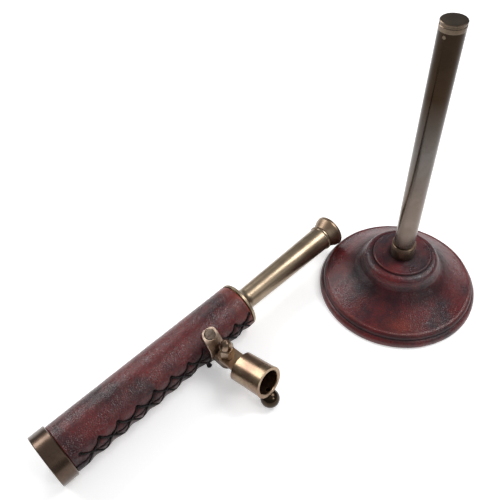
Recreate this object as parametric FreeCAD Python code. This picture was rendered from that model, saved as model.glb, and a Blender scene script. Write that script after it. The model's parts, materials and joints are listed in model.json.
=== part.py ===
import FreeCAD, Part
import math
import os

# Table telescope laid beside its stand.
# Origin: centre of the stand's underside.  +Z is up.  +X runs along the telescope, from the
# objective to the eyepiece.  The telescope lies level on the floor, resting on its objective
# bezel and on the ball of its clamp screw, with its cradle turned towards -Y.

# ---- Driving dimensions, in millimetres and degrees ----

# Stand
foot_r = 51.5                 # outer edge of the foot
leather_t = 1.3               # leather over the foot
felt_r, felt_t = 47.0, 1.2
step_r, step_z = 46.6, 9.2    # outer edge of the bell's slope
neck_r, neck_z = 24.3, 26.0   # where the slope turns up into the plateau
plateau_r, plateau_z = 20.0, 32.0
disc_r, disc_t = 18.2, 1.2    # leather disc on the plateau
post_r, post_wall = 6.35, 0.9
post_end_r, post_shoulder = 6.0, 43.2     # turned-down end of the post, inside the ferrule
post_top = 188.0
ferrule_r, ferrule_top, ferrule_floor = 7.35, 42.7, 1.8
stud_r, stud_low, stud_reach = 2.5, 1.3, 9.0
plug_len = 12.0
well_r, well_top = 8.5, 5.2   # well in the core for the washer and nut
nut_r, nut_top = 4.6, 4.2
cap_band, cap_spigot = 4.3, 6.0
pin_r, pin_drop, pin_angle = 0.9, 6.1, 182.0     # pin that holds the cap in the post

# Telescope body
tube_y, tube_z = 56.5, 16.3   # where its axis lies
front_x = -235.9              # front lip of the bezel
bezel_r, bezel_len = 16.3, 9.9
barrel_r, barrel_bore = 13.8, 13.0
wrap_r = 15.1                 # outside of the barrel's leather
rim_x, rim_len = -94.5, 2.0   # brass ring that closes the barrel
clear = 0.05                  # running clearance on the radius

# Objective and stop
lens_r = 12.9
stop_x, stop_t, stop_bore = -176.0, 1.5, 9.0

# Draw
draw_r, draw_wall = 12.3, 0.7
draw_front_x = -160.0
flange_r = 12.6
tail_root_r, tail_end_r = 7.05, 8.35
flare_len = 6.3
tail_end_x = -12.9
cup_x, cup_r = -3.5, 11.2     # rear lip of the eyecup
cell_front = -40.0            # shoulder that the eyepiece cell stands against
cell_r, cell_bore = 7.25, 6.5
erector_front, erector_rear = -158.0, -118.0
erector_bore = 10.4

# Cradle and pivot
cradle_x, cradle_w = -126.0, 10.6
saddle_t, ear_angle = 1.45, 64.0
ear_corner_r = 4.0
screw_angle, screw_head_r, screw_r = 50.0, 3.3, 1.5
recess_r, recess_depth = 3.7, 0.6         # recess in the ear for the screw's head
pivot_x, pivot_y = -124.2, 33.8
lug_r = 5.9
lug_low, lug_top = 11.4, 16.2
tongue_low, tongue_high = 16.3, 18.8
bolt_r, bolt_top = 2.0, 29.0
bolt_head_r, bolt_head_h = 3.5, 2.4
washer_r, washer_t = 4.3, 0.6
nut_corner_r, nut_flats_h = 4.8, 7.0      # acorn nut: its hexagon
nut_dome_r, nut_dome_h = 3.8, 6.9         # and the dome on top of it

# Socket for the post
rest_turn = 4.6               # turn of the socket about the pivot, from square to the barrel
socket_rise = 12.5            # how far the socket's axis climbs above the tongue
mouth_reach, mouth_z = 32.24, 21.3
socket_len, socket_depth = 22.4, 19.0     # along its axis; the back is cut square to the tongue
socket_back_r, socket_r, mouth_r = 9.3, 9.6, 9.8
socket_bore = 7.5
clamp_back, clamp_lean = 2.3, -3.6   # clamp screw: distance from the mouth, lean around the socket
ball_r, clamp_r = 5.7, 1.4

# Lacing of the barrel's leather
seam_angle, stitch_half_angle = 4.5, 23.0
stitch_pitch, stitch_count = 12.4, 10
first_stitch_x = -214.1
cord_w, cord_t = 1.1, 0.8

V = FreeCAD.Vector
X, Y, Z = V(1, 0, 0), V(0, 1, 0), V(0, 0, 1)
tube_axis = V(0, tube_y, tube_z)
pivot = V(pivot_x, pivot_y, 0)
mouth = V(pivot_x, pivot_y - mouth_reach, mouth_z)
rise = math.radians(socket_rise)
socket_way = V(0, -math.cos(rise), math.sin(rise))


# ---- Helpers ----

def wire_of(steps, place):
    """Closed outline.  A step is a point (a, r), or an arc through one point to another."""
    edges = []
    start = last = place(*steps[0])
    for step in steps[1:]:
        if len(step) == 2 and isinstance(step[0], tuple):
            middle, end = place(*step[0]), place(*step[1])
            edges.append(Part.Arc(last, middle, end).toShape())
        else:
            end = place(*step)
            edges.append(Part.makeLine(last, end))
        last = end
    if last.distanceToPoint(start) > 1e-6:
        edges.append(Part.makeLine(last, start))
    return Part.Wire(edges)


def turned_z(steps):
    """Solid of revolution about the stand's axis, from steps of (height, radius)."""
    face = Part.Face(wire_of(steps, lambda a, r: V(r, 0, a)))
    return face.revolve(V(0, 0, 0), Z, 360)


def turned_x(steps):
    """Solid of revolution about the telescope's axis, from steps of (x, radius)."""
    face = Part.Face(wire_of(steps, lambda a, r: V(a, tube_y + r, tube_z)))
    return face.revolve(tube_axis, X, 360)


def ring_x(x0, x1, outer, inner):
    return turned_x([(x0, inner), (x0, outer), (x1, outer), (x1, inner)])


def rod_z(x, y, z0, z1, radius):
    return Part.makeCylinder(radius, z1 - z0, V(x, y, z0), Z)


def rod_x(x0, x1, radius):
    return Part.makeCylinder(radius, x1 - x0, V(x0, tube_y, tube_z), X)


def lens(x0, x1, radius, front_bulge, rear_bulge):
    """Lens whose rim runs from x0 to x1; a positive bulge swells outwards at that face."""
    body = rod_x(x0, x1, radius)
    for x, bulge, outward in ((x0, front_bulge, -1), (x1, rear_bulge, 1)):
        if bulge == 0.0:
            continue
        ball_radius = (radius ** 2 + bulge ** 2) / (2 * abs(bulge))
        ball_x = x + outward * (bulge - math.copysign(ball_radius, bulge))
        ball = Part.makeSphere(ball_radius, V(ball_x, tube_y, tube_z), X)
        if bulge > 0:
            far = x + outward * bulge * 2
            cap = rod_x(min(x, far), max(x, far), radius)
            body = body.fuse(cap.common(ball))
        else:
            body = body.cut(ball)
    return body.removeSplitter()


def around_tube(degrees):
    """Unit vector out of the telescope's axis, at an angle from -Y up towards +Z."""
    a = math.radians(degrees)
    return V(0, -math.cos(a), math.sin(a))


def wedge(half_angle, x0, x1):
    """Block that keeps only what lies within half_angle of -Y, seen from the tube's axis."""
    reach = 60.0
    a = math.radians(half_angle)
    tip = V(x0, tube_y, tube_z)
    low = tip + V(0, -reach * math.cos(a), -reach * math.sin(a))
    high = tip + V(0, -reach * math.cos(a), reach * math.sin(a))
    face = Part.Face(Part.makePolygon([tip, low, high, tip]))
    return face.extrude(V(x1 - x0, 0, 0))


def softened(shape, radius, chosen):
    """The shape with its chosen edges rounded over."""
    return shape.makeFillet(radius, [edge for edge in shape.Edges if chosen(edge)])


def level(edge):
    return edge.BoundBox.ZLength < 0.01


def hexagon(radius, z0, z1):
    corners = []
    for k in range(7):
        a = math.radians(60 * k)
        corners.append(V(radius * math.cos(a), radius * math.sin(a), z0))
    return Part.Face(Part.makePolygon(corners)).extrude(V(0, 0, z1 - z0))


# ---- Stand ----

def foot_outline(inset):
    """Outside of the foot from its lower edge up to the plateau, moved in by the inset."""
    i = inset
    return [
        (0.3 + 0.9 * min(i, 1.0), foot_r - i),
        ((2.6, foot_r - i + 0.1), (4.9, 50.1 - i)),
        (5.5 - 0.2 * i, 49.2 - i),
        ((7.6, 48.6 - i), (step_z - 0.7 * i, step_r - 0.8 * i)),
        ((17.2 - 0.9 * i, 35.2 - 0.4 * i), (neck_z - 3.2 - 0.6 * i, neck_r + 2.4 - 0.8 * i)),
        ((neck_z - 1.4 - 0.4 * i, neck_r + 0.5 - 0.9 * i), (neck_z, neck_r - i)),
        (29.0 - 0.3 * i, 23.5 - i),
        ((plateau_z - 0.8 - 0.8 * i, 22.2 - 0.7 * i), (plateau_z - i, plateau_r)),
    ]


def base_core():
    steps = [(felt_t, 0.0), (felt_t, felt_r)] + foot_outline(leather_t)
    steps.append((plateau_z - leather_t, 0.0))
    body = turned_z(steps)
    body = body.cut(rod_z(0, 0, felt_t - 1, well_top, well_r))
    return body.cut(rod_z(0, 0, 0, plateau_z, stud_r + 0.1))


def base_leather():
    outer = [(0.3, felt_r + 0.3)] + foot_outline(0.0)
    outer.append((plateau_z, stud_r + 0.1))
    inner = [(plateau_z - leather_t, stud_r + 0.1)]
    inner_outline = foot_outline(leather_t)
    ends = [step[-1] if isinstance(step[0], tuple) else step for step in inner_outline]
    for k in range(len(inner_outline) - 1, -1, -1):
        step = inner_outline[k]
        if k == len(inner_outline) - 1:
            inner.append(ends[k])
        if isinstance(step[0], tuple):
            inner.append((step[0], ends[k - 1]))
        elif k > 0:
            inner.append(ends[k - 1])
    inner.append((felt_t, felt_r + 0.3))
    return turned_z(outer + inner)


def base_top_disc():
    low, high = plateau_z, plateau_z + disc_t
    bore = ferrule_r + 0.05
    return turned_z([(low, bore), (low, disc_r), (high - 0.5, disc_r), ((high - 0.15, disc_r - 0.15),
                     (high, disc_r - 0.5)), (high, bore)])


def base_felt():
    return rod_z(0, 0, 0, felt_t, felt_r)


def base_washer():
    hole = rod_z(0, 0, 0, plateau_z, stud_r + 0.1)
    return rod_z(0, 0, nut_top, well_top, well_r - 1.0).cut(hole)


def base_nut():
    hole = rod_z(0, 0, 0, plateau_z, stud_r + 0.02)
    return hexagon(nut_r, stud_low, nut_top).cut(hole)


def post_stud():
    return rod_z(0, 0, stud_low, plateau_z + ferrule_floor + stud_reach, stud_r)


def post_ferrule():
    low, high = plateau_z, ferrule_top
    floor = low + ferrule_floor
    bore = post_end_r + 0.03
    groove = high - 1.9
    return turned_z([
        (low, stud_r + 0.1), (low, ferrule_r + 0.02), (groove - 0.4, ferrule_r), (groove, ferrule_r - 0.3),
        (groove + 0.4, ferrule_r), (high - 0.3, ferrule_r), (high, ferrule_r - 0.3), (high, bore),
        (floor, bore), (floor, stud_r + 0.1),
    ])


def post_plug():
    low = plateau_z + ferrule_floor
    hole = rod_z(0, 0, low - 1, low + plug_len + 1, stud_r + 0.02)
    return rod_z(0, 0, low, low + plug_len, post_r - post_wall).cut(hole)


def post_tube():
    """Tube with a turned-down lower end, drilled for the cap's pin."""
    low, high, inner = plateau_z + ferrule_floor, post_top - cap_band, post_r - post_wall
    body = turned_z([
        (low, inner), (low, post_end_r), (post_shoulder - 0.15, post_end_r), (post_shoulder, post_r),
        (high, post_r), (high, inner),
    ])
    return body.cut(pin_rod(0.0))


def pin_rod(inset):
    """Rod where the cap's pin goes, from inside the spigot to just past the post's surface."""
    way = FreeCAD.Rotation(Z, pin_angle).multVec(X)
    foot = V(0, 0, post_top - pin_drop) + way * (post_r - 3.5)
    return Part.makeCylinder(pin_r - inset, 3.5 + 0.1, foot, way)


def post_cap():
    """Cap with a spigot into the post and a groove below its lip."""
    low, high, spigot = post_top - cap_band, post_top, post_r - post_wall
    groove = post_r - 0.3
    body = turned_z([
        (low - cap_spigot, 0.0), (low - cap_spigot, spigot), (low, spigot), (low, post_r),
        (high - 2.2, post_r), (high - 1.9, groove), (high - 1.4, groove), (high - 1.1, post_r),
        (high - 0.3, post_r), (high, post_r - 0.3), (high, 0.0),
    ])
    return body.cut(pin_rod(0.0))


def cap_pin():
    pin = pin_rod(0.02)
    rounds = [edge for edge in pin.Edges if edge.Closed]
    outer = max(rounds, key=lambda edge: edge.CenterOfMass.distanceToPoint(V(0, 0, post_top - pin_drop)))
    return pin.makeFillet(0.1, [outer])


# ---- Barrel ----

def objective_bezel():
    rear = front_x + bezel_len
    seat = front_x + 2.5
    tube_end = front_x + 4.4
    return turned_x([
        (front_x, 12.2), (front_x, bezel_r - 0.6),
        ((front_x + 0.18, bezel_r - 0.18), (front_x + 0.6, bezel_r)),
        (rear - 0.5, bezel_r), (rear, bezel_r - 0.5), (rear, barrel_r), (tube_end, barrel_r),
        (tube_end, barrel_bore), (seat, barrel_bore), (seat, 12.2),
    ])


def objective_crown_lens():
    rim = front_x + 2.8
    return lens(rim, rim + 1.1, lens_r, 1.8, 1.6)


def objective_flint_lens():
    rim = front_x + 4.0
    return lens(rim, rim + 3.3, lens_r, -1.6, 0.0)


def lens_retaining_ring():
    seat = front_x + 7.4
    return ring_x(seat, seat + 1.8, barrel_bore - 0.02, lens_r - 1.6)


def stop_ring():
    return ring_x(stop_x, stop_x + stop_t, barrel_bore - 0.02, stop_bore)


def screw_holes(radius):
    """Bores for the two cradle screws, radial to the telescope's axis."""
    bores = []
    for side in (-1, 1):
        way = around_tube(side * screw_angle)
        foot = V(cradle_x, tube_y, tube_z) + way * 10.0
        bores.append(Part.makeCylinder(radius, 12.0, foot, way))
    return bores


def main_tube():
    body = ring_x(front_x + 4.4, rim_x, barrel_r, barrel_bore)
    for bore in screw_holes(screw_r + 0.03):
        body = body.cut(bore)
    return body


def leather_wrap():
    body = ring_x(front_x + bezel_len, rim_x - 0.6, wrap_r, barrel_r)
    for bore in screw_holes(screw_r + 0.03):
        body = body.cut(bore)
    return body


def seam_lacing():
    """Row of crossed stitches that follow the leather's curve; the one under the cradle is left out."""
    half_gap = cradle_w / 2 + 0.3
    under_cradle = ring_x(cradle_x - half_gap, cradle_x + half_gap, wrap_r + 2.0, wrap_r - 2.0)
    along, deep = stitch_pitch - 2.0, 20.0
    height = 2 * wrap_r * math.sin(math.radians(stitch_half_angle))
    arm_len = math.hypot(along, height)
    lean = math.degrees(math.atan2(height, along))
    crosses = []
    for k in range(stitch_count):
        x = first_stitch_x + k * stitch_pitch
        if abs(x - cradle_x) < stitch_pitch / 4:
            continue
        sleeve = ring_x(x - stitch_pitch / 2, x + stitch_pitch / 2, wrap_r + cord_t, wrap_r)
        arms = []
        for side in (-1, 1):
            corner = V(-arm_len / 2, -wrap_r - 7.0, -cord_w / 2)
            arm = Part.makeBox(arm_len, deep, cord_w, corner)
            arm.rotate(V(0, 0, 0), Y, side * lean)
            arm.rotate(V(0, 0, 0), X, -seam_angle)
            arm.translate(V(x, tube_y, tube_z))
            arms.append(arm.common(sleeve))
        crosses.append(arms[0].fuse(arms[1]).removeSplitter().cut(under_cradle))
    return Part.makeCompound(crosses)


def rear_ring():
    """Brass ring at the barrel's end, with the bush that guides the draw tube."""
    front, rear = rim_x, rim_x + rim_len
    bush_front = rim_x - 8.0
    bore = draw_r + clear
    return turned_x([
        (bush_front, bore), (bush_front, barrel_bore - 0.02), (front, barrel_bore - 0.02), (front, wrap_r),
        (rear - 0.7, wrap_r), ((rear - 0.2, wrap_r - 0.2), (rear, wrap_r - 0.7)), (rear, bore),
    ])


def off_axis(edge, radius):
    """True if every point of the edge lies at this radius from the telescope's axis."""
    for point in edge.discretize(5):
        if abs(math.hypot(point.y - tube_y, point.z - tube_z) - radius) > 0.01:
            return False
    return True


def lug():
    """Flat lug under the socket's tongue, round at the pivot and running into the saddle."""
    left, right = pivot_x - lug_r, pivot_x + lug_r
    root_x, root_y = cradle_x + cradle_w / 2 - 0.5, tube_y - wrap_r + 2.0
    corners = [(left, pivot_y), (right, pivot_y), (root_x, root_y), (left, root_y)]
    outline = Part.makePolygon([V(x, y, lug_low) for x, y in corners + corners[:1]])
    web = Part.Face(outline).extrude(V(0, 0, lug_top - lug_low))
    body = web.fuse(rod_z(pivot_x, pivot_y, lug_low, lug_top, lug_r)).removeSplitter()
    return softened(body, 0.4, level)


def cradle():
    """Saddle round the leather, with the lug that carries the socket's tongue."""
    x0, x1 = cradle_x - cradle_w / 2, cradle_x + cradle_w / 2
    inner, outer = wrap_r + 0.03, wrap_r + saddle_t
    saddle = ring_x(x0, x1, outer, inner).common(wedge(ear_angle, x0 - 1, x1 + 1))
    ear_edges = [edge for edge in saddle.Edges if edge.Length < saddle_t + 0.1]
    saddle = saddle.makeFillet(ear_corner_r, ear_edges)
    saddle = softened(saddle, 0.4, lambda edge: off_axis(edge, outer))
    saddle = saddle.fuse(lug())
    saddle = saddle.cut(ring_x(x0 - 1, x1 + 1, inner, 5.0))
    saddle = saddle.cut(rod_z(pivot_x, pivot_y, 0, 40, bolt_r + clear))
    for side in (-1, 1):
        way = around_tube(side * screw_angle)
        floor = V(cradle_x, tube_y, tube_z) + way * (outer - recess_depth)
        saddle = saddle.cut(Part.makeCylinder(recess_r, 3.0, floor, way))
    for bore in screw_holes(screw_r + 0.03):
        saddle = saddle.cut(bore)
    return saddle.removeSplitter()


def cradle_screws():
    """Two slotted cheese-head screws that hold the cradle to the barrel."""
    screws = []
    centre = V(cradle_x, tube_y, tube_z)
    shank_low, head_low, head_h = barrel_bore + 0.05, wrap_r + saddle_t - recess_depth + 0.02, 1.3
    slot_w, slot_depth = 1.0, 0.8
    for side in (-1, 1):
        way = around_tube(side * screw_angle)
        shank = Part.makeCylinder(screw_r, head_low - shank_low + 0.2, centre + way * shank_low, way)
        head = Part.makeCylinder(screw_head_r, head_h, centre + way * head_low, way)
        rounds = [edge for edge in head.Edges if edge.Closed]
        rim = max(rounds, key=lambda edge: edge.CenterOfMass.distanceToPoint(centre))
        head = head.makeFillet(0.35, [rim])
        corner = V(-screw_head_r - 1, -slot_w / 2, head_low + head_h - slot_depth)
        slot = Part.makeBox(2 * screw_head_r + 2, slot_w, 2.0, corner)
        slot.rotate(V(0, 0, 0), X, 90.0 - side * screw_angle)
        slot.translate(centre)
        screws.append(shank.fuse(head).cut(slot).removeSplitter())
    return Part.makeCompound(screws)


def pivot_bolt():
    """Bolt with a domed head under the lug."""
    half_h, half_r = bolt_head_h * 0.72, bolt_head_r * 0.7
    profile = [
        (lug_low - bolt_head_h, 0.0), ((lug_low - half_h, half_r), (lug_low, bolt_head_r)),
        (lug_low, bolt_r), (bolt_top, bolt_r), (bolt_top, 0.0),
    ]
    body = turned_z(profile)
    body.translate(pivot)
    return body


def pivot_washer():
    low = tongue_high + clear
    hole = rod_z(pivot_x, pivot_y, low - 1, low + washer_t + 1, bolt_r + clear)
    return rod_z(pivot_x, pivot_y, low, low + washer_t, washer_r).cut(hole)


def dome_nut():
    """Acorn nut: a hexagon with bevelled corners and a tall dome."""
    low = tongue_high + washer_t + 2 * clear
    top = low + nut_flats_h
    bevel = 0.7
    corners = turned_z([
        (low, 0.0), (low, nut_corner_r - 0.3), (low + 0.3, nut_corner_r), (top - bevel, nut_corner_r),
        (top, nut_corner_r - bevel), (top, 0.0),
    ])
    body = hexagon(nut_corner_r, low, top).common(corners)
    side_r, side_z = nut_dome_r * 0.82, top + nut_dome_h * 0.55
    tip = top + nut_dome_h
    dome = turned_z([
        (top - 0.5, 0.0), (top - 0.5, nut_dome_r), (top, nut_dome_r), ((side_z, side_r), (tip, 0.0)),
    ])
    body = body.fuse(dome).removeSplitter()
    body.translate(pivot)
    return body.cut(rod_z(pivot_x, pivot_y, low - 1, bolt_top + 0.3, bolt_r + clear))


# ---- Draw ----

def draw_tube():
    return ring_x(draw_front_x, rim_x + rim_len + 0.3, draw_r, draw_r - draw_wall)


def draw_slide_ring():
    bore = barrel_bore - clear
    return ring_x(draw_front_x - 4.0, draw_front_x, bore, draw_r - draw_wall - 1.0)


def tail_radius(x):
    """Outside of the tapered tail tube."""
    root = rim_x + rim_len + flare_len
    share = (x - root) / (tail_end_x - root)
    return tail_root_r + share * (tail_end_r - tail_root_r)


def tail_piece():
    """Flange, hollow flare and tapered tube in one turned piece."""
    seat = rim_x + rim_len + 0.3
    spigot_x, spigot_r = seat - 6.0, draw_r - draw_wall - 0.02
    flare_end = seat + flare_len
    bore, bead = tail_root_r - 0.85, 0.7
    return turned_x([
        (spigot_x, spigot_r - 1.2), (spigot_x, spigot_r), (seat, spigot_r), (seat, flange_r),
        (seat + 0.3, flange_r - 0.2),
        ((seat + 2.0, tail_root_r + 1.9), (flare_end, tail_root_r)),
        (tail_end_x - 1.8, tail_radius(tail_end_x - 1.8)),
        ((tail_end_x - 1.2, tail_end_r + 0.15), (tail_end_x - 1.0, tail_end_r + bead)),
        (tail_end_x - 0.2, tail_end_r + bead), (tail_end_x, tail_end_r + bead - 0.2),
        (tail_end_x, cell_r + 0.02), (cell_front, cell_r + 0.02),
        (cell_front, bore), (seat + 1.0, bore), (seat - 1.0, spigot_r - 1.2),
    ])


def eyecup():
    """Bell-shaped cup, with a neck that closes the tail tube and a dished rear face."""
    neck_front, neck_rear, lip = tail_end_x, tail_end_x + 1.1, cup_x - 1.0
    neck_r = cell_r + 0.15
    return turned_x([
        (neck_front, 3.0), (neck_front, neck_r), (neck_rear, neck_r), (neck_rear, neck_r + 0.6),
        ((neck_rear + 2.8, cup_r - 1.85), (lip - 1.2, cup_r - 0.3)),
        (lip, cup_r - 0.25), (lip + 0.25, cup_r - 0.45), (lip + 0.45, cup_r),
        (cup_x - 0.2, cup_r), (cup_x, cup_r - 0.3), (cup_x, cup_r - 0.9),
        ((cup_x - 2.6, cup_r - 4.0), (cup_x - 3.4, 3.0)),
    ])


def eyepiece_cell():
    return ring_x(cell_front + 0.1, tail_end_x, cell_r, cell_bore)


def field_lens():
    rim = cell_front + 1.5
    return lens(rim, rim + 1.2, cell_bore - 0.05, 1.2, 0.0)


def eye_lens():
    rim = tail_end_x - 2.4
    return lens(rim, rim + 1.0, cell_bore - 0.05, 1.1, 0.0)


def eyepiece_spacer():
    """Sleeve that keeps the field lens and the eye lens apart."""
    return ring_x(cell_front + 2.8, tail_end_x - 3.6, cell_bore - 0.05, cell_bore - 0.85)


def erector_cell():
    return ring_x(erector_front, erector_rear, draw_r - draw_wall - 0.03, erector_bore)


def erector_front_lens():
    return lens(erector_front + 1.5, erector_front + 2.7, erector_bore - 0.05, 0.0, 1.6)


def erector_rear_lens():
    return lens(erector_rear - 2.7, erector_rear - 1.5, erector_bore - 0.05, 1.6, 0.0)


def erector_stop():
    middle, half_t, aperture = (erector_front + erector_rear) / 2, 0.6, 3.0
    return ring_x(middle - half_t, middle + half_t, erector_bore - 0.03, aperture)


# ---- Socket and clamp screw ----

def swing(shape):
    """Turn a piece about the pivot from square to the barrel to its rest place."""
    shape.rotate(pivot, Z, rest_turn)
    return shape


def along_socket(steps):
    """Solid of revolution about the socket's axis, from steps of (distance from mouth, radius)."""
    face = Part.Face(wire_of(steps, lambda a, r: V(r, 0, -a)))
    body = face.revolve(V(0, 0, 0), Z, 360)
    body.Placement = FreeCAD.Placement(mouth, FreeCAD.Rotation(Z, socket_way))
    return body


def clamp_way():
    """Direction of the clamp screw, out of the socket and down to the floor."""
    square = V(0, -math.sin(rise), -math.cos(rise))
    return FreeCAD.Rotation(socket_way, clamp_lean).multVec(square)


def clamp_foot():
    return mouth - socket_way * clamp_back


def ball_distance():
    """Distance from the socket's axis to the ball's centre, with the ball on the floor."""
    return (clamp_foot().z - ball_r) / -clamp_way().z


def socket():
    lip_len, spare = 0.6, 3.0
    shell = along_socket([
        (0.15, mouth_r), (lip_len, mouth_r), (lip_len + 0.2, socket_r), (socket_len + spare, socket_back_r),
        (socket_len + spare, 0.0), (socket_depth, 0.0), (socket_depth, socket_bore), (0.4, socket_bore),
        (0.0, socket_bore + 0.4), (0.0, mouth_r - 0.15),
    ])
    back_y = (mouth - socket_way * socket_len).y
    shell = shell.cut(Part.makeBox(60.0, 20.0, 60.0, V(pivot_x - 30.0, back_y, -20.0)))
    shell = softened(shell, 0.6, lambda edge: abs(edge.BoundBox.YMin - back_y) < 0.01 and edge.Closed)
    reach = mouth_reach - (socket_len - 2.5) * math.cos(rise)
    tongue = rod_z(pivot_x, pivot_y, tongue_low, tongue_high, lug_r)
    corner = V(pivot_x - lug_r, pivot_y - reach, tongue_low)
    web = Part.makeBox(2 * lug_r, reach, tongue_high - tongue_low, corner)
    body = shell.fuse(softened(tongue.fuse(web).removeSplitter(), 0.4, level))
    bore = [(-1.0, 0.0), (-1.0, socket_bore), (socket_depth, socket_bore), (socket_depth, 0.0)]
    body = body.cut(along_socket(bore))
    body = body.cut(rod_z(pivot_x, pivot_y, 0, 40, bolt_r + clear))
    body = body.cut(Part.makeCylinder(clamp_r + clear, 14.0, clamp_foot(), clamp_way()))
    return swing(body.removeSplitter())


def clamp_screw():
    """Screw with a ball knob; its tip ends flush with the socket's bore."""
    way, foot, distance = clamp_way(), clamp_foot(), ball_distance()
    tip = socket_bore + 0.25
    shank = Part.makeCylinder(clamp_r, distance - tip, foot + way * tip, way)
    ball = Part.makeSphere(ball_r, foot + way * distance)
    return swing(shank.fuse(ball).removeSplitter())


# ---- Build ----

PARTS = (
    base_core, base_leather, base_top_disc, base_felt, base_washer, base_nut, post_stud, post_ferrule,
    post_plug, post_tube, post_cap, cap_pin,
    objective_bezel, objective_crown_lens, objective_flint_lens, lens_retaining_ring, stop_ring, main_tube,
    leather_wrap, seam_lacing, rear_ring, cradle, cradle_screws, pivot_bolt, pivot_washer,
    dome_nut,
    draw_tube, draw_slide_ring, tail_piece, eyecup, eyepiece_cell, field_lens, eye_lens, eyepiece_spacer,
    erector_cell, erector_front_lens, erector_rear_lens, erector_stop,
    socket, clamp_screw,
)

os.makedirs("parts", exist_ok=True)
for make in PARTS:
    name = make.__name__
    shape = make()
    shape.exportStep("parts/" + name + ".step")
    state = "valid" if shape.isValid() else "INVALID"
    print(name, state, "solids", len(shape.Solids), "volume", round(shape.Volume, 1))

turn = FreeCAD.Rotation(Z, rest_turn)
clamp_axis = turn.multVec(clamp_way())
clamp_anchor = pivot + turn.multVec(clamp_foot() - pivot)
print("socket mouth", pivot + turn.multVec(mouth - pivot), "axis", turn.multVec(socket_way))
print("clamp axis", clamp_axis, "through", clamp_anchor)
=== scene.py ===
import json
import math
import random

import bpy
from mathutils import Matrix, Vector, noise

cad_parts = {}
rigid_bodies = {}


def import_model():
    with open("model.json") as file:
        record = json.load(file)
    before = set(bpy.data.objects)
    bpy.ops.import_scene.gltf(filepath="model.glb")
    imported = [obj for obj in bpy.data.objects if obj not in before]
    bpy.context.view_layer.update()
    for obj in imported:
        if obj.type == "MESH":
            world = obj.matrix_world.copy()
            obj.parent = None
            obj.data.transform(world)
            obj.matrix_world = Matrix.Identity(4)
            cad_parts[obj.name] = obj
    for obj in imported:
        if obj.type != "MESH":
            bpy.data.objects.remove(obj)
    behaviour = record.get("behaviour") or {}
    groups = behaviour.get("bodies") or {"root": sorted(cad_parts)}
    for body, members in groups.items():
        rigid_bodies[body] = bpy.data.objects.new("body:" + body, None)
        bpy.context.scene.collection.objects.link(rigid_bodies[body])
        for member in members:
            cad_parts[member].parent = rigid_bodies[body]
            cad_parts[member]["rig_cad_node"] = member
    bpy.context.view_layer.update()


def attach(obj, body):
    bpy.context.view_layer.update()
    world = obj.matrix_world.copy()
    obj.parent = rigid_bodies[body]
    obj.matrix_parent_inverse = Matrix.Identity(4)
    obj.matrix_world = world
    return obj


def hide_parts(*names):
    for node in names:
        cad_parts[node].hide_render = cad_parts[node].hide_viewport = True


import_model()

random.seed(7)

# ---- Sizes that the CAD part gives, in millimetres ----

MM = 0.001
TUBE_Y, TUBE_Z = 56.5, 16.3             # axis of the telescope
WRAP_R, TUBE_R = 15.1, 13.8             # outside and inside of the barrel's leather
WRAP_X0, WRAP_X1 = -225.95, -95.15      # ends of the barrel's leather
CRADLE_X, CRADLE_HALF = -126.0, 5.3     # middle and half length of the cradle's saddle
STITCH_X, PITCH, CROSSES = -214.1, 12.4, 10
HOLE_UP = 23.0                          # holes above and below the seam, in degrees
DISC_R, DISC_LOW, DISC_HIGH = 18.2, 32.0, 33.2
FERRULE_R = 7.45

# ---- Sizes of what is only drawn here, in millimetres ----

CORD_R = 0.42
DIP, DIP_LENGTH = 1.3, 2.7              # leather drawn in at a cross
PUFF = 0.45                             # leather swollen between two crosses
REACH_UP, REACH_DOWN = 4.4, 12.0        # how far round the barrel both go
CORD_BED, HOLE_DEPTH, SLIT_DEPTH = 0.38, 0.7, 0.55
SLIT_HALF = 0.16
END_ROUND, END_DROP = 0.7, 0.45         # rounded ends of the barrel's leather
LEATHER_STEP = 1.1                      # longest straight run on the foot's outline
DISC_STEP = 0.8
FOOT_SEGMENTS, DISC_SEGMENTS = 400, 220
TAIL_ANGLE, TAIL_R, TAIL_OUT = -44.0, 1.8, 4.6

# ---- Mesh helpers ----

def piece(name, verts, faces, body, sharp=40.0):
    """New object from points in millimetres, that rides on a body."""
    mesh = bpy.data.meshes.new(name)
    mesh.from_pydata([Vector(v) * MM for v in verts], [], faces)
    mesh.validate()
    mesh.polygons.foreach_set("use_smooth", [True] * len(mesh.polygons))
    mesh.set_sharp_from_angle(angle=math.radians(sharp))
    obj = bpy.data.objects.new(name, mesh)
    bpy.context.scene.collection.objects.link(obj)
    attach(obj, body)
    return obj


def paint(obj, name, values):
    """Store one number per vertex, for a material to read."""
    layer = obj.data.attributes.new(name, "FLOAT", "POINT")
    layer.data.foreach_set("value", values)


def bell(x, middle, width):
    """Smooth bump of height 1 around the middle."""
    return math.exp(-((x - middle) / width) ** 2)


def bend(start, middle, end, count):
    """Points on the curve from start through middle to end, without the start."""
    control = [2 * m - (s + e) / 2 for s, m, e in zip(start, middle, end)]
    points = []
    for k in range(1, count + 1):
        t = k / count
        points.append(tuple((1 - t) ** 2 * s + 2 * t * (1 - t) * c + t * t * e
                            for s, c, e in zip(start, control, end)))
    return points


def densify(profile, step):
    """Add points so that no run of a closed outline is longer than the step."""
    points = []
    for k, start in enumerate(profile):
        end = profile[(k + 1) % len(profile)]
        parts = max(1, math.ceil(math.dist(start, end) / step))
        for j in range(parts):
            t = j / parts
            points.append((start[0] + (end[0] - start[0]) * t, start[1] + (end[1] - start[1]) * t))
    return points


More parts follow.
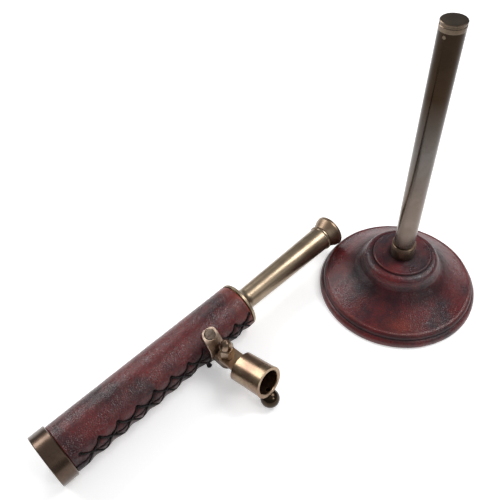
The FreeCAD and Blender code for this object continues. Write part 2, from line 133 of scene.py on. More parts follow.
def turned(name, profile, segments, body, relief):
    """Body of revolution about +Z from a closed outline of (z, r); relief moves points outwards."""
    verts, faces, normals, count = [], [], [], len(profile)
    for k in range(count):
        z0, r0 = profile[k - 1]
        z1, r1 = profile[(k + 1) % count]
        length = math.hypot(z1 - z0, r1 - r0) or 1.0
        normals.append(((r0 - r1) / length, (z1 - z0) / length))
    for s in range(segments):
        a = 2 * math.pi * s / segments
        for (z, r), (nz, nr) in zip(profile, normals):
            d = relief(z, r, a)
            rr, zz = r + nr * d, z + nz * d
            verts.append((rr * math.cos(a), rr * math.sin(a), zz))
    for s in range(segments):
        t = (s + 1) % segments
        for k in range(count):
            n = (k + 1) % count
            faces.append((s * count + k, t * count + k, t * count + n, s * count + n))
    return piece(name, verts, faces, body)


def tube(path, radius, sides):
    """Points and faces of a closed tube along a path of points; radius() goes from 0 to 1 along it."""
    verts, faces = [], []
    up = Vector((0.3, 0.2, 1.0))
    for k, here in enumerate(path):
        ahead = path[min(k + 1, len(path) - 1)] - path[max(k - 1, 0)]
        ahead.normalize()
        side = ahead.cross(up).normalized()
        top = side.cross(ahead).normalized()
        up = top
        r = radius(k / (len(path) - 1))
        for s in range(sides):
            a = 2 * math.pi * s / sides
            verts.append(here + (side * math.cos(a) + top * math.sin(a)) * r)
    for k in range(len(path) - 1):
        for s in range(sides):
            n = (s + 1) % sides
            faces.append((k * sides + s, k * sides + n, (k + 1) * sides + n, (k + 1) * sides + s))
    last = (len(path) - 1) * sides
    faces.append(tuple(reversed(range(sides))))
    faces.append(tuple(last + s for s in range(sides)))
    return verts, faces


def joined(parts):
    """Points and faces of several meshes put into one."""
    verts, faces = [], []
    for part_verts, part_faces in parts:
        base = len(verts)
        verts.extend(part_verts)
        faces.extend(tuple(base + i for i in face) for face in part_faces)
    return verts, faces


# ---- Material helpers ----

class Material:
    """Principled material whose nodes are added by name."""

    def __init__(self, name):
        self.material = bpy.data.materials.new(name)
        self.material.use_nodes = True
        self.tree = self.material.node_tree
        self.shader = self.tree.nodes["Principled BSDF"]
        coordinates = self.tree.nodes.new("ShaderNodeTexCoord")
        self.place = coordinates.outputs["Object"]

    def node(self, kind, settings=None, **inputs):
        made = self.tree.nodes.new("ShaderNode" + kind)
        for key, value in (settings or {}).items():
            setattr(made, key, value)
        for key, value in inputs.items():
            self.feed(made.inputs[key.replace("_", " ")], value)
        return made

    def feed(self, socket, value):
        if isinstance(value, bpy.types.NodeSocket):
            self.tree.links.new(value, socket)
        else:
            socket.default_value = value

    def stretched(self, x, y, z):
        """Object coordinates scaled along each axis."""
        made = self.node("Mapping", Vector=self.place)
        made.inputs["Scale"].default_value = (x, y, z)
        return made.outputs["Vector"]

    def noise(self, scale, detail=3.0, roughness=0.55, place=None, distortion=0.0):
        made = self.node("TexNoise", Vector=place or self.place, Scale=scale, Detail=detail,
                         Roughness=roughness, Distortion=distortion)
        return made.outputs["Fac"]

    def ramp(self, value, *stops):
        """Colour or grey ramp; a stop is (position, grey) or (position, (r, g, b))."""
        made = self.node("ValToRGB", Fac=value)
        band = made.color_ramp
        while len(band.elements) < len(stops):
            band.elements.new(0.5)
        for element, (position, colour) in zip(band.elements, stops):
            element.position = position
            rgb = colour if isinstance(colour, tuple) else (colour,) * 3
            element.color = (*rgb, 1.0)
        return made.outputs["Color"]

    def times(self, value, factor):
        made = self.tree.nodes.new("ShaderNodeMath")
        made.operation = "MULTIPLY"
        for socket, number in zip(made.inputs, (value, factor)):
            self.feed(socket, number)
        return made.outputs["Value"]

    def mix(self, share, a, b, blend="MIX"):
        made = self.tree.nodes.new("ShaderNodeMix")
        made.data_type = "RGBA"
        made.blend_type = blend
        self.feed(made.inputs["Factor"], share)
        for socket, value in ((made.inputs[6], a), (made.inputs[7], b)):
            self.feed(socket, (*value, 1.0) if isinstance(value, tuple) else value)
        return made.outputs[2]

    def mask(self, name):
        """The number that paint() stored under a name."""
        made = self.tree.nodes.new("ShaderNodeAttribute")
        made.attribute_name = name
        return made.outputs["Fac"]

    def bump(self, height, strength, distance, under=None):
        """Normal with a relief laid over another one; the distance is in metres."""
        made = self.node("Bump", Height=height, Strength=strength, Distance=distance)
        if under is not None:
            self.feed(made.inputs["Normal"], under)
        return made.outputs["Normal"]

    def set(self, **inputs):
        """Feed the shader's sockets by name and give the finished material."""
        for key, value in inputs.items():
            value = (*value, 1.0) if isinstance(value, tuple) and len(value) == 3 else value
            self.feed(self.shader.inputs[key.replace("_", " ")], value)
        return self.material


def leather(name, red, dark, worn, grain):
    """Burnished leather: mottled colour, pebbled grain, painted shade in recesses and worn high places."""
    m = Material(name)
    cloud = m.noise(42.0, 4.0, 0.6)
    blotch = m.noise(150.0, 5.0, 0.62, distortion=0.6)
    fleck = m.noise(900.0, 3.0, 0.6)
    colour = m.mix(m.ramp(cloud, (0.38, 0.0), (0.60, 1.0)), dark, red)
    colour = m.mix(m.ramp(blotch, (0.46, 0.0), (0.74, 0.6)), colour, worn)
    colour = m.mix(m.ramp(fleck, (0.36, 0.55), (0.58, 0.0)), colour, dark)
    # Lighter where worn; along the foot's lip edge this is a painted highlight.
    colour = m.mix(m.mask("wear_and_sheen"), colour, (worn[0] * 1.5, worn[1] * 1.9, worn[2] * 1.5))
    # Painted shade: darker in recesses, grooves, the seam and its holes, and next to other parts; duller
    # there as well.
    colour = m.mix(m.mask("painted_shade"), colour, tuple(c * 0.25 for c in dark))
    cells = m.node("TexVoronoi", {"feature": "DISTANCE_TO_EDGE"}, Vector=m.place, Scale=grain)
    pebbles = m.ramp(cells.outputs["Distance"], (0.0, 0.0), (0.25, 0.85), (0.55, 1.0))
    colour = m.mix(m.ramp(pebbles, (0.0, 0.5), (0.7, 0.0)), colour, dark)
    pores = m.noise(grain * 2.6, 2.0, 0.5)
    crease = m.noise(200.0, 3.0, 0.55, distortion=1.2)
    height = m.bump(crease, 0.2, 0.00022)
    height = m.bump(pebbles, 0.5, 0.00017, height)
    height = m.bump(pores, 0.2, 0.00006, height)
    rough = m.ramp(m.noise(120.0, 4.0, 0.6), (0.35, 0.26), (0.7, 0.36))
    rough = m.mix(m.mask("painted_shade"), rough, (0.40, 0.40, 0.40))
    shine = m.mix(m.mask("painted_shade"), (0.46, 0.46, 0.46), (0.14, 0.14, 0.14))
    return m.set(Base_Color=colour, Roughness=rough, Normal=height, Specular_IOR_Level=shine)


def aged_metal(name, light, deep, rough, lathe_scale, speckle=0.35, line_strength=0.12, wash=0.0, painted_light_by_height=None):
    """Antiqued brass: patina clouds, dark specks and fine lines left by turning.

    wash is the weight of a clear coat; the last argument is a list of (height in metres, share of the colour
    left), painted shade or a painted reflection that changes with height."""
    m = Material(name)
    patina = m.noise(70.0, 5.0, 0.62, distortion=0.4)
    streak = m.noise(1.0, 3.0, 0.6, m.stretched(*lathe_scale))
    speck = m.noise(1500.0, 2.0, 0.6)
    colour = m.mix(m.ramp(patina, (0.36, 0.0), (0.62, 1.0)), deep, light)
    colour = m.mix(m.ramp(streak, (0.40, 0.3), (0.62, 0.0)), colour, deep)
    colour = m.mix(m.ramp(speck, (0.30, speckle), (0.42, 0.0)), colour, tuple(c * 0.4 for c in deep))
    # Painted light: the colour is darkened by height.
    if painted_light_by_height:
        height = m.node("SeparateXYZ", Vector=m.place).outputs["Z"]
        top = painted_light_by_height[-1][0]
        share = m.ramp(m.times(height, 1.0 / top), *[(z / top, grey) for z, grey in painted_light_by_height])
        colour = m.mix(1.0, colour, share, "MULTIPLY")
    roughness = m.ramp(m.noise(160.0, 4.0, 0.6), (0.3, rough - 0.04), (0.7, rough + 0.05))
    normal = m.bump(streak, line_strength, 0.00006)
    normal = m.bump(m.noise(420.0, 3.0, 0.5), 0.04, 0.00006, normal)
    return m.set(Base_Color=colour, Metallic=1.0, Roughness=roughness, Normal=normal,
                 Coat_Weight=wash, Coat_Roughness=0.2)


def black_cord():
    m = Material("waxed_black_cord")
    strands = m.node("TexWave", {"wave_type": "BANDS"}, Vector=m.stretched(1.0, 1.0, 0.55), Scale=520.0,
                     Distortion=1.5)
    fuzz = m.noise(1800.0, 3.0, 0.6)
    colour = m.mix(fuzz, (0.004, 0.0035, 0.0035), (0.016, 0.012, 0.012))
    normal = m.bump(strands.outputs["Fac"], 0.6, 0.0003)
    return m.set(Base_Color=colour, Normal=m.bump(fuzz, 0.4, 0.0001, normal),
                 Roughness=m.ramp(fuzz, (0.3, 0.55), (0.7, 0.75)), Specular_IOR_Level=0.25)


def turned_wood():
    m = Material("turned_wood")
    rings = m.node("TexWave", {"wave_type": "RINGS", "rings_direction": "X"}, Vector=m.place, Scale=70.0,
                   Distortion=4.0, Detail=3.0)
    pore = m.noise(1.0, 3.0, 0.6, m.stretched(60.0, 900.0, 900.0))
    colour = m.mix(rings.outputs["Fac"], (0.20, 0.10, 0.045), (0.33, 0.18, 0.085))
    colour = m.mix(m.ramp(pore, (0.35, 0.4), (0.55, 0.0)), colour, (0.09, 0.045, 0.02))
    return m.set(Base_Color=colour, Roughness=m.ramp(pore, (0.3, 0.5), (0.7, 0.65)),
                 Normal=m.bump(pore, 0.3, 0.0001))


def felt():
    m = Material("dark_felt")
    fibre = m.noise(2200.0, 5.0, 0.75, distortion=2.0)
    colour = m.mix(fibre, (0.008, 0.010, 0.008), (0.045, 0.050, 0.042))
    return m.set(Base_Color=colour, Roughness=m.ramp(fibre, (0.2, 0.86), (0.8, 0.98)), Sheen_Weight=0.35,
                 Normal=m.bump(fibre, 0.8, 0.0004))


def optical_glass():
    m = Material("optical_glass")
    haze = m.noise(90.0, 3.0, 0.6)
    return m.set(Base_Color=(0.93, 0.97, 0.96), Transmission_Weight=1.0, IOR=1.52,
                 Roughness=m.ramp(haze, (0.4, 0.01), (0.8, 0.05)))


def pale_floor():
    m = Material("pale_floor")
    tone = m.ramp(m.noise(3.0, 2.0, 0.5), (0.3, 0.90), (0.7, 0.93))
    return m.set(Base_Color=tone, Roughness=m.ramp(m.noise(9.0), (0.3, 0.55), (0.7, 0.65)),
                 Emission_Color=tone, Emission_Strength=0.42)


# ---- Leather of the foot ----

def foot_outline():
    """Closed outline of the foot's leather: up the outside, and back along the core."""
    points = [(0.3, 47.4), (0.3, 50.9)]
    points += bend((0.3, 50.9), (0.55, 51.35), (1.2, 51.45), 4)
    points += bend((1.2, 51.45), (3.0, 51.2), (4.5, 50.25), 8)
    points += bend((4.5, 50.25), (5.0, 49.7), (5.3, 49.05), 5)
    points += bend((5.3, 49.05), (5.65, 48.95), (6.1, 49.1), 4)
    points += bend((6.1, 49.1), (7.7, 48.7), (8.7, 47.7), 7)
    points += bend((8.7, 47.7), (9.15, 47.2), (9.2, 46.4), 4)
    points += bend((9.2, 46.4), (16.3, 35.6), (21.2, 28.9), 20)
    points += bend((21.2, 28.9), (23.9, 25.5), (27.0, 24.05), 11)
    points += bend((27.0, 24.05), (28.0, 23.75), (28.8, 23.4), 4)
    points += bend((28.8, 23.4), (31.0, 22.0), (31.9, 19.5), 10)
    points += [(32.0, 18.4), (32.0, FERRULE_R), (30.8, FERRULE_R), (30.8, 19.6)]
    points += [(30.1, 20.9), (28.4, 22.2), (25.8, 23.0), (23.4, 24.0), (20.5, 27.6), (15.5, 34.9)]
    points += [(8.0, 45.2), (6.8, 47.0), (5.0, 47.8), (4.0, 48.7), (2.6, 49.7), (1.2, 49.9), (1.2, 47.4)]
    return densify(points, LEATHER_STEP)


def foot_relief(z, r, a):
    """Soft unevenness of leather pulled over a turned core."""
    outside = 1.0 if r > 24 or z > 31.5 else 0.6
    spot = Vector((r * math.cos(a), r * math.sin(a), z))
    wide = noise.noise(spot * 0.055) * 0.16
    fine = noise.noise(spot * 0.24 + Vector((9, 0, 0))) * 0.07
    pulled = bell(r, 26.5, 3.5) * noise.noise(Vector((a * 7.0, r * 0.15, 3))) * 0.2
    drawn_in = 0.25 if r > 25 else 0.0
    return (wide + fine + pulled) * outside - drawn_in


def foot_marks(p):
    """Shares of wear and painted highlight (a painted highlight on the lip's edge, a rusty place) and of
    painted shade (foot of the slope, groove, a painted contact shadow under the disc's edge, the lip's
    face).
    """
    r, a = math.hypot(p.x, p.y), math.atan2(p.y, p.x)
    patch = 0.5 + 0.5 * noise.noise(p * 0.07 + Vector((3, 1, 5)))
    # A painted highlight along the lip's edge, and lighter wear low on the skirt.
    edge = bell(p.z, 9.1, 0.5) * bell(r, 46.9, 1.4) + 0.5 * bell(p.z, 2.4, 2.2)
    rust = bell(a, -2.45, 0.22) * bell(r, 42.5, 4.5)
    # Painted shade at the foot of the slope, in the groove, round the disc and on the lip's face.
    root = bell(r, 28.5, 5.0) * (0.45 + 0.8 * patch) if p.z < 27 else 0.0
    groove = bell(p.z, 5.7, 0.55) if r > 48 else 0.0
    contact = bell(r, DISC_R + 0.3, 0.9) if p.z > 31 else 0.0
    lip = (0.35 + 0.4 * patch) * bell(p.z, 7.0, 1.6) if r > 47 else 0.0
    return (min(1.0, 0.3 * edge * patch + 0.5 * rust),
            min(1.0, 0.85 * root + 0.9 * groove + 0.85 * contact + lip))


def make_foot():
    """Leather formed over the foot's core."""
    obj = turned("foot_leather", foot_outline(), FOOT_SEGMENTS, "stand", foot_relief)
    marks = [foot_marks(vertex.co / MM) for vertex in obj.data.vertices]
    paint(obj, "wear_and_sheen", [wear_and_sheen for wear_and_sheen, painted_shade in marks])
    paint(obj, "painted_shade", [painted_shade for wear_and_sheen, painted_shade in marks])
    return obj


def disc_outline():
    """Closed outline of the disc round the ferrule: flat below, with a rounded and slightly raised edge."""
    low, top, flat = DISC_LOW, DISC_HIGH, DISC_HIGH - 0.12
    points = [(low, FERRULE_R), (low, DISC_R - 0.15)]
    points += bend((low, DISC_R - 0.15), (low + 0.3, DISC_R), (top - 0.75, DISC_R), 4)
    points += bend((top - 0.75, DISC_R), (top - 0.2, DISC_R - 0.22), (top, DISC_R - 0.8), 7)
    points += bend((top, DISC_R - 0.8), (top - 0.06, DISC_R - 1.4), (flat, DISC_R - 2.2), 4)
    points.append((flat, FERRULE_R))
    return densify(points, DISC_STEP)


def disc_relief(z, r, a):
    """Soft unevenness of the disc's top and edge."""
    spot = Vector((r * math.cos(a), r * math.sin(a), z))
    return noise.noise(spot * 0.16) * 0.07 if z > DISC_LOW + 0.3 else 0.0


def make_disc():
    """Leather disc round the ferrule, worn at its edge, with painted shade underneath and at the ferrule."""
    obj = turned("top_leather_disc", disc_outline(), DISC_SEGMENTS, "stand", disc_relief)
    wear_and_sheen, painted_shade = [], []
    for vertex in obj.data.vertices:
        p = vertex.co / MM
        r = math.hypot(p.x, p.y)
        wear_and_sheen.append(0.12 * bell(r, DISC_R - 0.25, 0.3))
        low = 0.8 if p.z < DISC_LOW + 0.35 else 0.0
        painted_shade.append(min(1.0, low + 0.8 * bell(r, FERRULE_R, 1.6)))
    paint(obj, "wear_and_sheen", wear_and_sheen)
    paint(obj, "painted_shade", painted_shade)
    return obj


# ---- Leather of the barrel, with its laced seam ----

def seam_at(x):
    """Angle of the seam, from -Y up towards +Z."""
    return math.radians(5.5 - 2.0 * (x - WRAP_X0) / (CRADLE_X - WRAP_X0))


def holes():
    """Places (x, arc from the seam) of the stitch holes, above and below it."""
    places, rise = [], WRAP_R * math.radians(HOLE_UP)
    for k in range(CROSSES + 1):
        x = STITCH_X + (k - 0.5) * PITCH
        x = min(max(x, WRAP_X0 + 2.2), WRAP_X1 - 1.6)
        places.append((x + random.uniform(-0.3, 0.3), rise + random.uniform(-0.4, 0.4)))
        places.append((x + random.uniform(-0.3, 0.3), -rise))
    return places


HOLES = holes()


def arms():
    """The arms of the crosses, as pairs of holes."""
    pairs = []
    for k in range(CROSSES):
        if abs(STITCH_X + k * PITCH - CRADLE_X) > PITCH / 4:
            pairs.append((HOLES[2 * k], HOLES[2 * k + 3]))
            pairs.append((HOLES[2 * k + 1], HOLES[2 * k + 2]))
    return pairs


ARMS = arms()


def from_arm(x, arc, arm):
    """Distance of a point on the leather from an arm of a cross."""
    (x0, y0), (x1, y1) = arm
    dx, dy = x1 - x0, y1 - y0
    t = ((x - x0) * dx + (arc - y0) * dy) / (dx * dx + dy * dy)
    t = min(1.0, max(0.0, t))
    return math.hypot(x - x0 - t * dx, arc - y0 - t * dy)


def away_from_cradle(x):
    """0 under the cradle's saddle, 1 a little beyond it."""
    return min(1.0, max(0.0, (abs(x - CRADLE_X) - CRADLE_HALF - 0.2) / 1.2))


def leather_radius(x, across):
    """Radius of the leather's outside; across is the angle from the seam.

    The lacing draws the leather in at its crosses, beds and holes, and it swells in between."""
    r, free, arc = WRAP_R, away_from_cradle(x), across * WRAP_R
    if abs(arc) < 24.0:
        k = round((x - STITCH_X) / PITCH)
        dx = x - (STITCH_X + k * PITCH)
        reach = REACH_UP if arc > 0 else REACH_DOWN
        if 0 <= k < CROSSES:
            r -= DIP * free * bell(dx, 0.0, DIP_LENGTH) * bell(arc, 0.0, reach)
        puff = abs(dx) / (PITCH / 2)
        r += PUFF * free * puff * puff * bell(arc, 0.0, reach)
        for arm in ARMS:
            if min(arm[0][0], arm[1][0]) - 2.5 < x < max(arm[0][0], arm[1][0]) + 2.5:
                r -= CORD_BED * free * bell(from_arm(x, arc, arm), 0.0, 0.9)
        for hole_x, hole_arc in HOLES:
            away = math.hypot(x - hole_x, arc - hole_arc)
            if away < 7.0:
                turn = math.atan2(arc - hole_arc, x - hole_x)
                pucker = noise.noise(Vector((turn * 1.6, away * 0.25, hole_x)))
                r -= HOLE_DEPTH * free * bell(away, 0.0, 1.0)
                r += 0.22 * free * bell(away, 2.4, 2.0) * pucker
        r += 0.32 * free * bell(arc, 0.0, 6.0) * noise.noise(Vector((x * 0.9, arc * 0.32, 4)))
        r -= SLIT_DEPTH * bell(arc, 0.0, 0.5)
    spot = Vector((x * 0.13, math.cos(across) * 2.0, math.sin(across) * 2.0))
    r += (noise.noise(spot) * 0.09 + noise.noise(spot * 3.1) * 0.05) * free
    for end, way in ((WRAP_X0, 1), (WRAP_X1, -1)):
        depth = (x - end) * way
        if depth < END_ROUND:
            r -= END_DROP * (1 - depth / END_ROUND) ** 2
    return min(r, WRAP_R + 0.02 if free < 0.5 else WRAP_R + 0.5)


def on_barrel(x, across, r):
    """Point at a place along the barrel, an angle from the seam and a radius."""
    a = seam_at(x) + across
    return Vector((x, TUBE_Y - r * math.cos(a), TUBE_Z + r * math.sin(a)))


def spread(low, high, coarse, fine, near):
    """Values from low to high, closer together where near() says so."""
    values, here = [low], low
    while here < high - fine * 0.5:
        here += fine if near(here) else coarse
        values.append(min(here, high))
    values[-1] = high
    return values


def wrap_marks(x, across):
    """Shares of wear (both ends) and of painted shade (seam, stitches, holes, a dark band below the seam,
    near the cradle).
    """
    arc = across * WRAP_R
    edge = bell(arc, 0.0, 0.7)
    nearest = min(from_arm(x, arc, arm) for arm in ARMS) if abs(arc) < 10 else 9.0
    pit = min(math.hypot(x - hole_x, arc - hole_arc) for hole_x, hole_arc in HOLES)
    stitched = 0.75 * bell(nearest, 0.0, 0.9) + bell(pit, 0.0, 1.3)
    patch = 0.6 + 0.7 * noise.noise(Vector((x * 0.11, across * 3, 8)))
    band = bell(across, -0.15, 0.5) * patch + bell(across, -1.0, 0.8) * 0.45
    near_saddle = bell(x, CRADLE_X - CRADLE_HALF - 2.5, 6.0) * bell(across, 0.2, 0.9) * 0.5
    tip = bell(x, WRAP_X1, 7.0) * (0.55 + 0.6 * noise.noise(Vector((x * 0.2, across * 2.2, 2))))
    tip += 0.25 * bell(x, WRAP_X1, 1.2) + 0.2 * bell(x, WRAP_X0, 1.0)
    return max(0.0, min(1.0, tip)), max(0.0, min(1.0, edge + stitched + band + near_saddle))


def wrap_faces(rows, columns):
    """Faces of the wrap: outside, inside, both edges of the slit and both ends."""
    faces = []

    def at(i, j, layer=0):
        return (layer * rows + i) * columns + j

    for i in range(rows - 1):
        for j in range(columns - 1):
            faces.append((at(i, j), at(i + 1, j), at(i + 1, j + 1), at(i, j + 1)))
            faces.append((at(i, j, 1), at(i, j + 1, 1), at(i + 1, j + 1, 1), at(i + 1, j, 1)))
        for j, flip in ((0, False), (columns - 1, True)):
            face = (at(i, j), at(i, j, 1), at(i + 1, j, 1), at(i + 1, j))
            faces.append(face[::-1] if flip else face)
    for j in range(columns - 1):
        for i, flip in ((0, False), (rows - 1, True)):
            face = (at(i, j), at(i, j + 1), at(i, j + 1, 1), at(i, j, 1))
            faces.append(face[::-1] if flip else face)
    return faces


def make_wrap():
    """Leather round the barrel, open by a narrow slit along its seam; finer points near the seam."""
    slit = SLIT_HALF / WRAP_R
    xs = spread(WRAP_X0, WRAP_X1, 0.42, 0.22, lambda x: x < WRAP_X0 + 1 or x > WRAP_X1 - 1.2)
    half = spread(slit, math.pi, 0.075, 0.022, lambda a: a < 0.75)
    order = half + [-v for v in reversed(half[:-1])]
    verts, wear_and_sheen, painted_shade = [], [], []
    for outside in (True, False):
        for x in xs:
            for across in order:
                r = leather_radius(x, across) if outside else TUBE_R + 0.02
                worn, shaded = wrap_marks(x, across)
                verts.append(on_barrel(x, across, r))
                wear_and_sheen.append(worn)
                painted_shade.append(shaded)
    obj = piece("barrel_leather", verts, wrap_faces(len(xs), len(order)), "barrel")
    paint(obj, "wear_and_sheen", wear_and_sheen)
    paint(obj, "painted_shade", painted_shade)
    return obj


def lace(start, end, lift):
    """Path of one arm of a cross, from hole to hole over the leather."""
    path, steps = [], 26
    for k in range(steps + 1):
        t = k / steps
        x = start[0] + (end[0] - start[0]) * t
        across = (start[1] + (end[1] - start[1]) * t) / WRAP_R
        sunk = 1.5 * (bell(t, 0.0, 0.035) + bell(t, 1.0, 0.035))
        over = lift * bell(t, 0.5, 0.10)
        hidden = 1.9 * (1.0 - away_from_cradle(x))
        r = leather_radius(x, across) + CORD_R * 0.72 + over - sunk - hidden
        r = max(r, WRAP_R - 0.75 - sunk - hidden)
        path.append(on_barrel(x, across, r))
    return path


def make_lacing():
    """All arms in one piece; of each cross the second arm passes over the first."""
    parts = []
    for k, (start, end) in enumerate(ARMS):
        swell = random.uniform(0.92, 1.1)
        lift = CORD_R * 1.5 if k % 2 else 0.0
        parts.append(tube(lace(start, end, lift), lambda t: CORD_R * swell, 10))
    verts, faces = joined(parts)
    return piece("barrel_lacing", verts, faces, "barrel", 60.0)


def make_lace_tail():
    """Knotted end of the lace, just in front of the cradle, under the barrel."""
    across = math.radians(TAIL_ANGLE) - seam_at(CRADLE_X)
    x = CRADLE_X - CRADLE_HALF - 0.4
    foot = on_barrel(x, across, WRAP_R - 0.9)
    tip = on_barrel(x - 0.2, across - 0.05, WRAP_R + TAIL_OUT)
    steps = 22
    path = [foot.lerp(tip, k / steps) for k in range(steps + 1)]

    def radius(t):
        round_end = math.sqrt(max(0.0, 1 - max(0.0, (t - 0.72) / 0.28) ** 2))
        return TAIL_R * (0.9 + 0.12 * math.sin(t * 9)) * max(round_end, 0.08)

    verts, faces = tube(path, radius, 20)
    return piece("lace_tail", verts, faces, "barrel", 70.0)


# ---- Pieces, and the CAD nodes that they stand for ----

foot, disc = make_foot(), make_disc()
wrap, lacing, tail = make_wrap(), make_lacing(), make_lace_tail()

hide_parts("base_leather")
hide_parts("base_top_disc")
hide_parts("leather_wrap")
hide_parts("seam_lacing")

# ---- Materials ----

foot_skin = leather("foot_oxblood", (0.150, 0.0115, 0.0130), (0.022, 0.0070, 0.0120),
                    (0.200, 0.026, 0.016), 820.0)
barrel_skin = leather("barrel_oxblood", (0.150, 0.0110, 0.0120), (0.028, 0.0070, 0.0100),
                      (0.195, 0.024, 0.015), 880.0)
cord = black_cord()
# Scales that stretch the fine lines: round a piece turned about X or Z, or in no direction.
AROUND_X = (2600.0, 30.0, 30.0)
AROUND_Z = (30.0, 30.0, 2600.0)
ALONG_Z = (60.0, 60.0, 9.0)
MIXED = (500.0, 500.0, 500.0)
# The post gets darker upwards as a painted reflection, and the cradle downwards as painted shade.
POST_PAINTED_REFLECTION = [(0.045, (0.95, 0.88, 0.87)), (0.08, (0.68, 0.63, 0.62)), (0.115, (0.52, 0.54, 0.58)),
             (0.15, (0.155, 0.115, 0.083)), (0.19, (0.12, 0.095, 0.075))]
# Painted shade: the cradle's colour darkens towards its lower end.
CRADLE_PAINTED_SHADE = [(0.0, (0.05, 0.045, 0.045)), (0.0118, (0.10, 0.075, 0.065)), (0.0155, (0.40, 0.32, 0.28)),
         (0.0170, (1.0, 1.0, 1.0)), (0.04, (1.0, 1.0, 1.0))]
bezel_brass = aged_metal("bezel_brass", (0.120, 0.080, 0.056), (0.075, 0.046, 0.031), 0.29, AROUND_X,
                         wash=0.3)
tail_brass = aged_metal("tail_brass", (0.340, 0.265, 0.185), (0.265, 0.200, 0.135), 0.34, AROUND_X, 0.15,
                        0.05, 0.15)
cradle_brass = aged_metal("cradle_brass", (0.520, 0.405, 0.320), (0.330, 0.240, 0.180), 0.36, MIXED, 0.7,
                          painted_light_by_height=CRADLE_PAINTED_SHADE)
fitting_brass = aged_metal("fitting_brass", (0.350, 0.255, 0.160), (0.215, 0.120, 0.080), 0.30, MIXED, 0.35,
                           wash=0.35)
nut_brass = aged_metal("nut_brass", (0.400, 0.290, 0.190), (0.230, 0.155, 0.105), 0.28, MIXED, 0.5, wash=0.3)
cup_brass = aged_metal("cup_brass", (0.370, 0.280, 0.195), (0.220, 0.150, 0.100), 0.42, AROUND_X, wash=0.15)
knob_brass = aged_metal("knob_brass", (0.050, 0.034, 0.021), (0.025, 0.017, 0.011), 0.24, MIXED, 0.4,
                        wash=0.08)
post_metal = aged_metal("post_metal", (0.250, 0.215, 0.185), (0.200, 0.168, 0.140), 0.20, ALONG_Z,
                        painted_light_by_height=POST_PAINTED_REFLECTION)
cap_metal = aged_metal("cap_metal", (0.165, 0.125, 0.088), (0.095, 0.068, 0.047), 0.30, AROUND_Z, wash=0.15)
ferrule_brass = aged_metal("ferrule_brass", (0.270, 0.200, 0.145), (0.165, 0.115, 0.080), 0.34, AROUND_Z)
screw_metal = aged_metal("screw_metal", (0.230, 0.175, 0.138), (0.050, 0.038, 0.030), 0.45, MIXED, 0.95)
black_brass = aged_metal("blackened_brass", (0.020, 0.018, 0.016), (0.009, 0.008, 0.008), 0.55, AROUND_X)
zinc_steel = aged_metal("zinc_steel", (0.52, 0.53, 0.55), (0.36, 0.37, 0.39), 0.32, AROUND_Z)
inner_brass = aged_metal("inner_brass", (0.240, 0.180, 0.115), (0.120, 0.085, 0.052), 0.36, AROUND_X)

finishes = {
    "base_core": turned_wood(), "base_felt": felt(),
    "base_washer": zinc_steel, "base_nut": zinc_steel, "post_stud": zinc_steel,
    "post_ferrule": ferrule_brass, "post_plug": cap_metal, "post_tube": post_metal, "post_cap": cap_metal,
    "cap_pin": cap_metal,
    "objective_bezel": bezel_brass, "main_tube": inner_brass, "rear_ring": tail_brass,
    "cradle": cradle_brass, "cradle_screws": screw_metal, "pivot_bolt": fitting_brass,
    "pivot_washer": fitting_brass, "dome_nut": nut_brass, "socket": fitting_brass, "clamp_screw": knob_brass,
    "draw_tube": tail_brass, "draw_slide_ring": inner_brass, "tail_piece": tail_brass, "eyecup": cup_brass,
    "eyepiece_cell": black_brass, "eyepiece_spacer": black_brass, "erector_cell": black_brass,
    "erector_stop": black_brass, "lens_retaining_ring": black_brass, "stop_ring": black_brass,
}
glass = optical_glass()
for lens in ("objective_crown_lens", "objective_flint_lens", "field_lens", "eye_lens", "erector_front_lens",
             "erector_rear_lens"):
    finishes[lens] = glass


def node_object(name):
    """The Blender object that shows a CAD node."""
    for obj in bpy.context.scene.objects:
        if obj.get("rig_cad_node") == name:
            return obj
    return None


def finish_with(obj, material):
    """Give an object one material."""
    obj.data.materials.clear()
    obj.data.materials.append(material)


for node, material in finishes.items():
    finish_with(node_object(node), material)
for obj, material, slot in ((foot, foot_skin, "base_leather"), (disc, foot_skin, "base_leather"),
                            (wrap, barrel_skin, "barrel_leather"), (lacing, cord, "lacing_cord"),
                            (tail, cord, "lacing_cord")):
    finish_with(obj, material)


# ---- Floor, light and camera ----

FLOOR_HALF, FLOOR_DROP = 4.0, 0.0002    # metres


def make_floor():
    half = FLOOR_HALF
    mesh = bpy.data.meshes.new("floor")
    corners = [(-half, -half, 0), (half, -half, 0), (half, half, 0), (-half, half, 0)]
    mesh.from_pydata(corners, [], [(0, 1, 2, 3)])
    obj = bpy.data.objects.new("floor", mesh)
    obj.location.z = -FLOOR_DROP
    bpy.context.scene.collection.objects.link(obj)
    obj.data.materials.append(pale_floor())


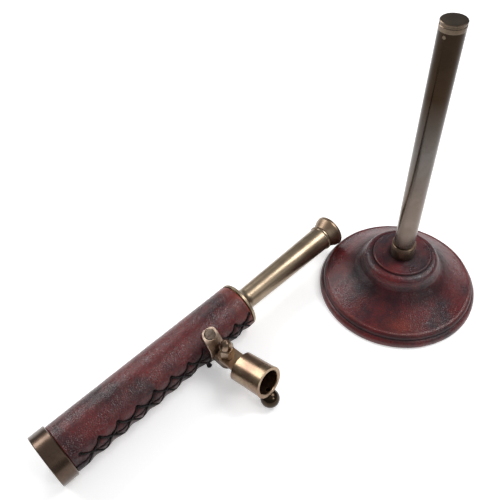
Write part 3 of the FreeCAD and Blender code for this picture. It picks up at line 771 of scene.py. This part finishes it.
def soft_light(name, place, target, size, watts):
    """White area light at a place, turned to a target, both in metres."""
    light = bpy.data.lights.new(name, "AREA")
    light.shape = "RECTANGLE"
    light.size, light.size_y = size
    light.energy = watts
    obj = bpy.data.objects.new(name, light)
    obj.location = place
    obj.rotation_euler = (Vector(target) - Vector(place)).to_track_quat("-Z", "Y").to_euler()
    bpy.context.scene.collection.objects.link(obj)


def make_world():
    """Grey studio that gets lighter upwards."""
    world = bpy.data.worlds.new("studio")
    world.use_nodes = True
    tree = world.node_tree
    sky = tree.nodes.new("ShaderNodeTexCoord")
    split = tree.nodes.new("ShaderNodeSeparateXYZ")
    ramp = tree.nodes.new("ShaderNodeValToRGB")
    stops = ((0.0, 0.18), (0.35, 0.20), (0.75, 0.32), (1.0, 0.5))
    while len(ramp.color_ramp.elements) < len(stops):
        ramp.color_ramp.elements.new(0.5)
    for element, (position, grey) in zip(ramp.color_ramp.elements, stops):
        element.position, element.color = position, (grey, grey, grey * 1.01, 1.0)
    tree.links.new(sky.outputs["Generated"], split.inputs["Vector"])
    tree.links.new(split.outputs["Z"], ramp.inputs["Fac"])
    tree.links.new(ramp.outputs["Color"], tree.nodes["Background"].inputs["Color"])
    tree.nodes["Background"].inputs["Strength"].default_value = 1.0
    bpy.context.scene.world = world


def make_camera():
    """Camera from its three axes and its place in millimetres."""
    right = Vector((0.712396, -0.699869, -0.051725))
    up = Vector((0.546912, 0.507491, 0.665839))
    back = Vector((-0.439750, -0.502630, 0.744301))
    camera = bpy.data.cameras.new("camera")
    camera.lens, camera.sensor_width = 40.638, 36.0
    camera.clip_start = 0.01
    obj = bpy.data.objects.new("camera", camera)
    turn = Matrix((right, up, back)).transposed().to_4x4()
    obj.matrix_world = Matrix.Translation(Vector((-228.594, -113.242, 309.627)) * MM) @ turn
    bpy.context.scene.collection.objects.link(obj)
    bpy.context.scene.camera = obj


make_floor()
make_world()
soft_light("key_behind", (-0.20, 0.74, 0.62), (-0.07, 0.03, 0.0), (0.80, 0.26), 4.8)
soft_light("key_right", (0.42, -0.20, 0.78), (-0.03, 0.04, 0.03), (0.36, 0.36), 4.2)
soft_light("fill_front", (0.04, -0.70, 0.58), (0.0, 0.0, 0.03), (0.14, 0.14), 1.2)
make_camera()
bpy.context.scene.view_settings.view_transform = "Standard"
